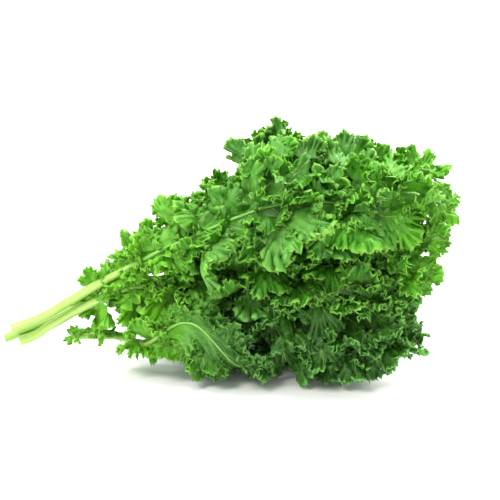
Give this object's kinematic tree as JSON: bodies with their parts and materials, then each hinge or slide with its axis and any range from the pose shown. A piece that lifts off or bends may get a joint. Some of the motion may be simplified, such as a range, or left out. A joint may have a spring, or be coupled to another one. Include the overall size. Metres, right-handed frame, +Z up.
{
  "type": "kale bunch",
  "caption": "Bunch of curly kale lying on its side, pale cut stems at one end and frilled green leaves spread at the other.",
  "frame": {"origin": "middle of the bunch's box in plan, on the surface that it lies on", "axes": "+X from the cut stems to the leaf tips, -Y towards the front, +Z up"},
  "size_m": [0.3752, 0.2122, 0.2092],
  "materials": {
    "leaf_blade": "waxy satin green leaf, paler at veins and rim",
    "leaf_stem": "smooth pale yellow-green stem"
  },
  "bodies": {
    "root": {"leaf_top_front_blade": "leaf_blade", "leaf_top_front_stem": "leaf_stem", "leaf_top_blade": "leaf_blade", "leaf_top_stem": "leaf_stem", "leaf_back_top_blade": "leaf_blade", "leaf_back_top_stem": "leaf_stem", "leaf_back_blade": "leaf_blade", "leaf_back_stem": "leaf_stem", "leaf_back_low_blade": "leaf_blade", "leaf_back_low_stem": "leaf_stem", "leaf_floor_blade": "leaf_blade", "leaf_floor_stem": "leaf_stem", "leaf_front_low_blade": "leaf_blade", "leaf_front_low_stem": "leaf_stem", "leaf_front_middle_blade": "leaf_blade", "leaf_front_middle_stem": "leaf_stem", "leaf_front_blade": "leaf_blade", "leaf_front_stem": "leaf_stem", "leaf_inner_front_blade": "leaf_blade", "leaf_inner_front_stem": "leaf_stem", "leaf_inner_top_blade": "leaf_blade", "leaf_inner_top_stem": "leaf_stem", "leaf_front_left_blade": "leaf_blade", "leaf_front_left_stem": "leaf_stem", "leaf_inner_back_blade": "leaf_blade", "leaf_inner_back_stem": "leaf_stem"}
  },
  "joints": []
}
